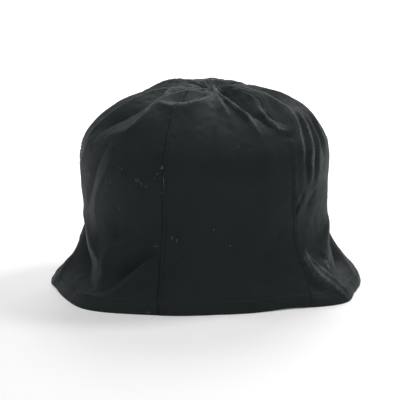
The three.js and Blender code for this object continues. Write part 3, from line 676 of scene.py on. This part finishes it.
def gore_mesh(gore, grids, noises):
    """A gore's vertices and faces, and at each vertex its paleness from wear and painted light, and its
    place on the weave.
    """
    azimuth, from_start, from_end = gore_columns(gore, ROWS)
    up = np.repeat(ROWS[:, None], azimuth.shape[1], 1)
    points, normals = middle_face(grids, azimuth, up)
    curl = rounded_edge(up)
    relief = seam_relief(azimuth, up, from_start, from_end, noises)
    relief += hem_relief(azimuth, up, noises) + crease_relief(azimuth, up, noises)
    outer = points + normals * (relief - curl)[..., None]
    inner = points - normals * (inner_depth(up, from_start) - curl)[..., None]
    vertices = np.concatenate([outer.reshape(-1, 3), inner.reshape(-1, 3)]) * MM
    vertices[:, 2] = np.maximum(vertices[:, 2], 0)
    index = np.arange(up.size).reshape(up.shape)
    under = index + up.size

    def quads(a, b, c, d):
        return np.stack([a, b, c, d], -1).reshape(-1, 4)

    faces = np.concatenate([
        quads(index[:-1, :-1], index[:-1, 1:], index[1:, 1:], index[1:, :-1]),
        quads(under[:-1, :-1], under[1:, :-1], under[1:, 1:], under[:-1, 1:]),
        quads(index[:-1, 0], index[1:, 0], under[1:, 0], under[:-1, 0]),
        quads(index[:-1, -1], under[:-1, -1], under[1:, -1], index[1:, -1]),
        quads(index[0, :-1], under[0, :-1], under[0, 1:], index[0, 1:]),
        quads(index[-1, :-1], index[-1, 1:], under[-1, 1:], under[-1, :-1]),
    ])
    wear_and_painted_light = sample(grids["wear_and_painted_light"], azimuth, up).ravel()
    weave = np.stack([(from_start - from_end) / 2, up], -1).reshape(-1, 2) * MM
    return vertices, faces, np.concatenate([wear_and_painted_light, 0 * wear_and_painted_light]), np.concatenate([weave, weave])


def add_object(name, data):
    thing = bpy.data.objects.new(name, data)
    bpy.context.scene.collection.objects.link(thing)
    return thing


def add_mesh(name, vertices, faces, material):
    mesh = bpy.data.meshes.new(name)
    mesh.from_pydata(vertices.tolist(), [], [list(face) for face in faces])
    mesh.materials.append(material)
    mesh.shade_smooth()
    mesh.update()
    return add_object(name, mesh)


def add_gore(gore, grids, noises, material):
    vertices, faces, wear_and_painted_light, weave = gore_mesh(gore, grids, noises)
    piece = add_mesh(gore.node + "_cloth", vertices, faces, material)
    mesh = piece.data
    mesh.attributes.new("wear_and_painted_light", "FLOAT", "POINT").data.foreach_set("value", wear_and_painted_light.astype(np.float32))
    loops = np.empty(len(mesh.loops), np.int32)
    mesh.loops.foreach_get("vertex_index", loops)
    mesh.uv_layers.new(name="weave").data.foreach_set("uv", weave[loops].astype(np.float32).ravel())
    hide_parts(gore.node)
    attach(piece, BODY)


def tube_vertices(middles, sideways, outwards, radii, sides):
    """Vertices of tubes, ring by ring, from each ring's middle, its two directions and its radius."""
    turn = np.arange(sides)[:, None] * 2 * np.pi / sides
    reach = sideways[..., None, :] * np.cos(turn) + outwards[..., None, :] * np.sin(turn)
    return (middles[..., None, :] + radii[..., None, None] * reach).reshape(-1, 3)


def tube_faces(count, rings, sides):
    """Faces of closed tubes whose vertices come tube by tube and ring by ring."""
    one = []
    for low in range(0, (rings - 1) * sides, sides):
        high = low + sides
        for side in range(sides):
            after = (side + 1) % sides
            one.append([low + side, low + after, high + after, high + side])
    one.append(list(range(sides))[::-1])
    one.append([(rings - 1) * sides + side for side in range(sides)])
    return [[v + tube * rings * sides for v in face] for tube in range(count) for face in one]


# One stitch: rings along its length, with each ring's share of the radius and how far it sinks
Ring = namedtuple("Ring", "along radius sink")
STITCH_RINGS = [
    Ring(-0.5, 0.35, 0.42),
    Ring(-0.36, 0.85, 0.14),
    Ring(0, 1, 0),
    Ring(0.36, 0.85, 0.14),
    Ring(0.5, 0.35, 0.42),
]
STITCH_SIDES = 6


def stitches(centres, forwards, outwards):
    """A gore's stitches as one mesh's vertices and faces."""
    along, radii, sinks = (np.array(column)[:, None] for column in zip(*STITCH_RINGS))
    middles = centres[:, None] + along * STITCH_LENGTH * forwards[:, None] - sinks * outwards[:, None]
    sideways = unit(np.cross(outwards, forwards))
    radii = STITCH_RADIUS * radii[:, 0]
    vertices = tube_vertices(middles, sideways[:, None], outwards[:, None], radii, STITCH_SIDES)
    return vertices * MM, tube_faces(len(centres), len(STITCH_RINGS), STITCH_SIDES)


def stitch_places(gore, grids):
    """Centres and directions of a gore's stitches: up its first seam, and along the hem."""
    ups = np.arange(HEM_STITCH_UP + STITCH_PITCH, APEX_UP - STITCH_TOP, STITCH_PITCH)
    ups = (np.floor(ups / STITCH_PITCH) + 0.5) * STITCH_PITCH
    azimuths, from_start, _ = gore_columns(gore, ups)
    beside = np.array([np.interp(SEAM_STITCH, s, a) for s, a in zip(from_start, azimuths)])
    start, end = SEAM_CURVES[gore.start](HEM_STITCH_UP), SEAM_CURVES[gore.end](HEM_STITCH_UP)
    end = end + 360 if end < start else end
    step = math.degrees(STITCH_PITCH / HEM_RADIUS)
    around = (np.arange(math.ceil(start / step), math.floor(end / step)) + 0.5) * step
    lines = [
        (beside, ups, (0, STITCH_LENGTH / 2)),
        (around, np.full_like(around, HEM_STITCH_UP), (step * STITCH_LENGTH / STITCH_PITCH / 2, 0)),
    ]
    centres, forwards, outwards = [], [], []
    for azimuth, up, (turn, climb) in lines:
        middle, normals = middle_face(grids, azimuth, up)
        tips = [middle_face(grids, azimuth + side * turn, up + side * climb)[0] for side in (-1, 1)]
        centres.append(middle + normals * STITCH_LIFT)
        forwards.append(unit(tips[1] - tips[0]))
        outwards.append(normals)
    return [np.concatenate(parts) for parts in (centres, forwards, outwards)]


def add_stitches(gore, grids, material):
    vertices, faces = stitches(*stitch_places(gore, grids))
    piece = add_mesh(gore.node + "_stitches", vertices, faces, material)
    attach(piece, BODY)


# Lint that clings to the cloth, each a curled fibre: where it lies, its length, the degrees that it
# points up from the level and bends by over its length, and its radius
Lint = namedtuple("Lint", "azimuth up length points bends radius")
LINTS = [
    Lint(-19.4, 107, 5.0, 60, 330, 0.17),
    Lint(-21.4, 102.5, 1.3, 50, -60, 0.18),
    Lint(-22.6, 99.3, 2.0, 35, 90, 0.16),
    Lint(-18.5, 97, 9.0, 92, 50, 0.09),
    Lint(-31.4, 96.5, 8.0, 10, 420, 0.1),
    Lint(-29.4, 94, 6.0, 120, 300, 0.1),
    Lint(-26.6, 92.5, 2.0, -20, 60, 0.12),
    Lint(-39.8, 103, 1.2, 20, 60, 0.18),
    Lint(-41.6, 103.6, 0.9, 80, 20, 0.18),
    Lint(-47, 92, 1.3, 95, 30, 0.16),
    Lint(-19.4, 89, 1.6, 30, -80, 0.16),
    Lint(-42.2, 74, 2.2, 88, 30, 0.1),
    Lint(-22.2, 50, 3.4, 5, 40, 0.13),
    Lint(-15.2, 57, 7.0, 100, 380, 0.11),
    Lint(-13.0, 55, 4.0, 70, 220, 0.11),
    Lint(-12.2, 42.5, 1.6, 40, 90, 0.13),
    Lint(3.8, 63.5, 1.2, 60, 40, 0.15),
    Lint(11.0, 51.5, 1.4, 130, 60, 0.15),
    Lint(15.8, 122.5, 2.0, 95, 25, 0.1),
    Lint(21.4, 119.5, 1.8, 80, -30, 0.1),
    Lint(-19.4, 2.2, 2.6, 15, 60, 0.15),
    Lint(-10.6, 2.6, 1.8, 160, 50, 0.15),
    Lint(58.0, 96, 1.6, 30, 40, 0.15),
    Lint(84.0, 70, 3.0, 80, 90, 0.12),
    Lint(118.0, 104, 4.0, 30, 260, 0.11),
    Lint(171.0, 88, 2.6, 110, 60, 0.13),
    Lint(203.0, 126, 5.0, 40, 320, 0.1),
    Lint(244.0, 58, 2.4, 75, -70, 0.13),
    Lint(293.0, 92, 3.2, 150, 120, 0.12),
]
LINT_STEPS = 14
LINT_SIDES = 5
LINT_LIFT = 0.3
LINT_ARCH = 0.035  # of a fibre's length, by which its middle stands higher
LINT_TAPER = 0.75  # share of its thickness that a fibre loses at its tips
CURL_MIDDLE = 0.6  # share of a fibre's bend that is even
CURL_ENDS = 1.6  # what comes to that towards its ends


def lint_path(lint):
    """Azimuth and distance up of a fibre's points."""
    along = np.linspace(-0.5, 0.5, LINT_STEPS)
    heading = np.radians(lint.points + lint.bends * along * (CURL_MIDDLE + CURL_ENDS * np.abs(along)))
    step = lint.length / (LINT_STEPS - 1)
    across, climb = np.cumsum(np.cos(heading)) * step, np.cumsum(np.sin(heading)) * step
    radius = np.interp(lint.up, UPS, MEAN_RADII)
    return lint.azimuth + np.degrees((across - across.mean()) / radius), lint.up + climb - climb.mean()


def lint_vertices(grids, lint):
    azimuth, up = lint_path(lint)
    points, normals = middle_face(grids, azimuth, up)
    along = np.linspace(0, 1, LINT_STEPS)
    radius = lint.radius * (1 - LINT_TAPER * (2 * along - 1) ** 4)
    lift = LINT_LIFT + LINT_ARCH * lint.length * np.sin(np.pi * along) ** 2
    middle = points + normals * lift[:, None]
    forward = unit(np.gradient(middle, axis=0))
    sideways = unit(np.cross(normals, forward))
    return tube_vertices(middle, sideways, normals, radius, LINT_SIDES)


def add_lint(grids, material):
    vertices = np.concatenate([lint_vertices(grids, lint) for lint in LINTS])
    faces = tube_faces(len(LINTS), LINT_STEPS, LINT_SIDES)
    piece = add_mesh("lint", vertices * MM, faces, material)
    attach(piece, BODY)


# Colours of the cloth, its thread and the lint
DYE = (0.0068, 0.0094, 0.0100, 1)
FADED_DYE = (0.0100, 0.0132, 0.0137, 1)
# Pale colour of worn creases, which also paints the crests' highlights and the crown's light from above
WEAR_AND_PAINTED_LIGHT_COLOUR = (0.12, 0.141, 0.148, 1)
THREAD_DARK = (0.0035, 0.0046, 0.0048, 1)
THREAD_PALE = (0.009, 0.0115, 0.012, 1)
FIBRE_GREY = (0.05, 0.055, 0.055, 1)
FIBRE_PALE = (0.18, 0.19, 0.185, 1)

# Noise in the materials: its cells per metre and its detail
Grain = namedtuple("Grain", "scale detail")
CLOUDS = Grain(38, 4)
MOTTLES = Grain(260, 4)
FLECKS = Grain(700, 4)
PATCHES = Grain(95, 2)
THREAD_GRAIN = Grain(900, 2)
FIBRE_GRAIN = Grain(300, 2)
GRAIN_ROUGHNESS = 0.55

# The range of a noise that is used, and what its ends become where that isn't 0 and 1
TONE_RANGE = (0.7, 1.3)
GRAIN_RANGE = (0.3, 0.7)
FLECK_RANGE = (0.36, 0.6, 0.3, 1.0)
PATCH_RANGE = (0.36, 0.6, 0.4, 1.0)
ROUGH_RANGE = (0.3, 0.7, 0.52, 0.64)

# Relief that is only bump, with its depth in metres
BUMP_STRENGTH = 0.5
THREADS_PER_METRE = 2100
WEAVE_DEPTH = 0.00012
MOTTLE_SHARE = 2.0  # the mottling's relief over the weave's
TWIST_SCALE = 1500
TWIST_DEPTH = 0.00005

CLOTH_FINISH = {
    "Specular IOR Level": 0.17,
    "Specular Tint": (0.82, 0.97, 1, 1),
    "Sheen Weight": 0.04,
    "Sheen Roughness": 0.4,
    "Sheen Tint": (0.8, 0.97, 1, 1),
}
THREAD_FINISH = {"Roughness": 0.6, "Specular IOR Level": 0.3}
FIBRE_FINISH = {"Roughness": 0.8, "Sheen Weight": 0.3}
MIX_COLOURS = slice(6, 8)  # a Mix node's sockets for two colours
MIX_RESULT = 2


def make_material(name):
    material = bpy.data.materials.new(name)
    material.use_nodes = True
    tree = material.node_tree
    return material, tree, tree.nodes["Principled BSDF"]


def set_sockets(node, values):
    for name, value in values.items():
        node.inputs[name].default_value = value


def object_place(tree):
    return tree.nodes.new("ShaderNodeTexCoord").outputs["Object"]


def feed(tree, sockets, values):
    """Gives each socket its number or colour, or a link from another node."""
    for socket, value in zip(sockets, values):
        if isinstance(value, bpy.types.NodeSocket):
            tree.links.new(value, socket)
        else:
            socket.default_value = value


def math_node(tree, operation, first, second=0.0, clamp=False):
    node = tree.nodes.new("ShaderNodeMath")
    node.operation = operation
    node.use_clamp = clamp
    feed(tree, node.inputs, (first, second))
    return node.outputs[0]


def mix_colours(tree, factor, first, second):
    node = tree.nodes.new("ShaderNodeMix")
    node.data_type = "RGBA"
    tree.links.new(factor, node.inputs["Factor"])
    feed(tree, node.inputs[MIX_COLOURS], (first, second))
    return node.outputs[MIX_RESULT]


def noise_node(tree, grain):
    node = tree.nodes.new("ShaderNodeTexNoise")
    set_sockets(node, {"Scale": grain.scale, "Detail": grain.detail, "Roughness": GRAIN_ROUGHNESS})
    tree.links.new(object_place(tree), node.inputs["Vector"])
    return node.outputs[0]


def ranged(tree, value, low, high, new_low=0.0, new_high=1.0):
    node = tree.nodes.new("ShaderNodeMapRange")
    tree.links.new(value, node.inputs["Value"])
    set_sockets(node, {"From Min": low, "From Max": high, "To Min": new_low, "To Max": new_high})
    return node.outputs[0]


def link_bump(tree, shader, height, depth):
    node = tree.nodes.new("ShaderNodeBump")
    set_sockets(node, {"Strength": BUMP_STRENGTH, "Distance": depth})
    tree.links.new(height, node.inputs["Height"])
    tree.links.new(node.outputs[0], shader.inputs["Normal"])


def weave(tree):
    """Height of a plain weave, whose warp and weft threads pass over and under each other."""
    uv = tree.nodes.new("ShaderNodeUVMap")
    uv.uv_map = "weave"
    split = tree.nodes.new("ShaderNodeSeparateXYZ")
    tree.links.new(uv.outputs[0], split.inputs[0])
    turn_per_metre = THREADS_PER_METRE * math.pi
    turns = [math_node(tree, "MULTIPLY", split.outputs[axis], turn_per_metre) for axis in ("X", "Y")]
    warp, weft = (math_node(tree, "SINE", angle) for angle in turns)
    return math_node(tree, "MULTIPLY", warp, weft)


def coated_cotton():
    """Mottled dye that is made pale where the mesh says so, in flecks and patches: worn creases, painted
    highlights on the crests and painted light on the crown.
    """
    material, tree, shader = make_material("coated_cotton")
    mottled = noise_node(tree, MOTTLES)
    tone = ranged(tree, math_node(tree, "ADD", noise_node(tree, CLOUDS), mottled), *TONE_RANGE)
    wear_and_painted_light = tree.nodes.new("ShaderNodeAttribute")
    wear_and_painted_light.attribute_name = "wear_and_painted_light"
    flecked = ranged(tree, noise_node(tree, FLECKS), *FLECK_RANGE)
    patchy = ranged(tree, noise_node(tree, PATCHES), *PATCH_RANGE)
    wear_and_light_patches = math_node(tree, "MULTIPLY", flecked, patchy)
    # Paler where worn, and where light is painted on the crests and the crown
    worn = math_node(tree, "MULTIPLY", wear_and_painted_light.outputs["Fac"], wear_and_light_patches, clamp=True)
    colour = mix_colours(tree, worn, mix_colours(tree, tone, DYE, FADED_DYE), WEAR_AND_PAINTED_LIGHT_COLOUR)
    tree.links.new(colour, shader.inputs["Base Color"])
    tree.links.new(ranged(tree, mottled, *ROUGH_RANGE), shader.inputs["Roughness"])
    set_sockets(shader, CLOTH_FINISH)
    mottling = math_node(tree, "MULTIPLY", mottled, MOTTLE_SHARE)
    link_bump(tree, shader, math_node(tree, "ADD", weave(tree), mottling), WEAVE_DEPTH)
    return material


def grained_material(name, grain, dark, pale, finish):
    material, tree, shader = make_material(name)
    tone = ranged(tree, noise_node(tree, grain), *GRAIN_RANGE)
    tree.links.new(mix_colours(tree, tone, dark, pale), shader.inputs["Base Color"])
    set_sockets(shader, finish)
    return material, tree, shader


def sewing_thread():
    """Twisted thread, a little darker than the cloth."""
    material, tree, shader = grained_material(
        "sewing_thread", THREAD_GRAIN, THREAD_DARK, THREAD_PALE, THREAD_FINISH)
    twist = tree.nodes.new("ShaderNodeTexWave")
    twist.bands_direction = "DIAGONAL"
    set_sockets(twist, {"Scale": TWIST_SCALE})
    tree.links.new(object_place(tree), twist.inputs["Vector"])
    link_bump(tree, shader, twist.outputs[1], TWIST_DEPTH)
    return material


def pale_fibre():
    return grained_material("pale_fibre", FIBRE_GRAIN, FIBRE_GREY, FIBRE_PALE, FIBRE_FINISH)[0]


# Light that the hat gets from the room, by the side along Y that it comes from
RoomLight = namedtuple("RoomLight", "name side strength")
ROOM_LIGHTS = [
    RoomLight("front", -1, 0.78),
    RoomLight("back", 1, 0.42),
]
ROOM_EVERYWHERE = 0.01
WHITE = (1, 1, 1, 1)

# Soft lamps, with their power in watts
Lamp = namedtuple("Lamp", "name place size power")
LAMPS = [
    Lamp("above", (0, 0, 1.8), 0.8, 6),
    Lamp("front_above", (0, -1, 1.6), 0.6, 5.6),
    Lamp("behind", (0.3, 1.3, 1.2), 0.7, 9),
    Lamp("right", (1.1, 0.5, 1.6), 0.5, 13),
    Lamp("left", (-1.4, 0.5, 1.3), 0.5, 4),
]
LAMPS_AIM = Vector((0, 0, 0.07))


def add_world():
    """White to the camera. As light it comes mostly from the front, where the room is."""
    world = bpy.data.worlds.new("studio")
    bpy.context.scene.world = world
    world.use_nodes = True
    tree = world.node_tree
    seen = tree.nodes["Background"]
    light = tree.nodes.new("ShaderNodeBackground")
    for background in (seen, light):
        set_sockets(background, {"Color": WHITE})
    place = tree.nodes.new("ShaderNodeTexCoord")
    split = tree.nodes.new("ShaderNodeSeparateXYZ")
    tree.links.new(place.outputs["Generated"], split.inputs[0])
    total = ROOM_EVERYWHERE
    for room in ROOM_LIGHTS:
        toward = math_node(tree, "MULTIPLY", split.outputs["Y"], room.side * room.strength)
        total = math_node(tree, "ADD", math_node(tree, "MAXIMUM", toward, 0.0), total)
    tree.links.new(total, light.inputs["Strength"])
    rays = tree.nodes.new("ShaderNodeLightPath")
    mix = tree.nodes.new("ShaderNodeMixShader")
    tree.links.new(rays.outputs["Is Camera Ray"], mix.inputs[0])
    tree.links.new(light.outputs[0], mix.inputs[1])
    tree.links.new(seen.outputs[0], mix.inputs[2])
    tree.links.new(mix.outputs[0], tree.nodes["World Output"].inputs["Surface"])


def add_lamp(lamp):
    light = bpy.data.lights.new(lamp.name, "AREA")
    light.energy = lamp.power
    light.size = lamp.size
    holder = add_object(lamp.name, light)
    holder.location = lamp.place
    holder.rotation_euler = (LAMPS_AIM - Vector(lamp.place)).to_track_quat("-Z", "Y").to_euler()


# The floor. Its glow keeps it white behind the hat, where the lamps hardly reach
FLOOR_WIDTH = 6.0
FLOOR_WHITE = (0.9, 0.9, 0.9, 1)
FLOOR_GLOW = (0.11, 0.5)
GLOW_SPAN = (-0.05, 0.6)  # along Y, from where the glow starts to grow to where it is full


def add_floor():
    half = FLOOR_WIDTH / 2
    corners = [(-half, -half, 0), (half, -half, 0), (half, half, 0), (-half, half, 0)]
    material, tree, shader = make_material("paper")
    set_sockets(shader, {"Base Color": FLOOR_WHITE, "Emission Color": WHITE})
    split = tree.nodes.new("ShaderNodeSeparateXYZ")
    tree.links.new(object_place(tree), split.inputs[0])
    glow = ranged(tree, split.outputs["Y"], *GLOW_SPAN, *FLOOR_GLOW)
    tree.links.new(glow, shader.inputs["Emission Strength"])
    add_mesh("floor", np.array(corners), [(0, 1, 2, 3)], material)


# The camera looks a little down at the hat from the front, through a long lens
CAMERA_PLACE = (-0.00475, -1.75475, 0.41839)
CAMERA_DOWN = 11.5
CAMERA_LENS = 216
CAMERA_SENSOR = 36


def add_camera():
    data = bpy.data.cameras.new("camera")
    data.lens = CAMERA_LENS
    data.sensor_width = CAMERA_SENSOR
    camera = add_object("camera", data)
    camera.location = CAMERA_PLACE
    camera.rotation_euler = (math.radians(90 - CAMERA_DOWN), 0, 0)
    bpy.context.scene.camera = camera
    bpy.context.scene.view_settings.view_transform = "Standard"


def main():
    grids = cloth_grid()
    noises = {cells.name: Noise(cells) for cells in NOISE_CELLS}
    cloth, thread, fibre = coated_cotton(), sewing_thread(), pale_fibre()
    for gore in GORES:
        add_gore(gore, grids, noises, cloth)
        add_stitches(gore, grids, thread)
    add_lint(grids, fibre)
    add_camera()
    add_world()
    add_floor()
    for lamp in LAMPS:
        add_lamp(lamp)


main()
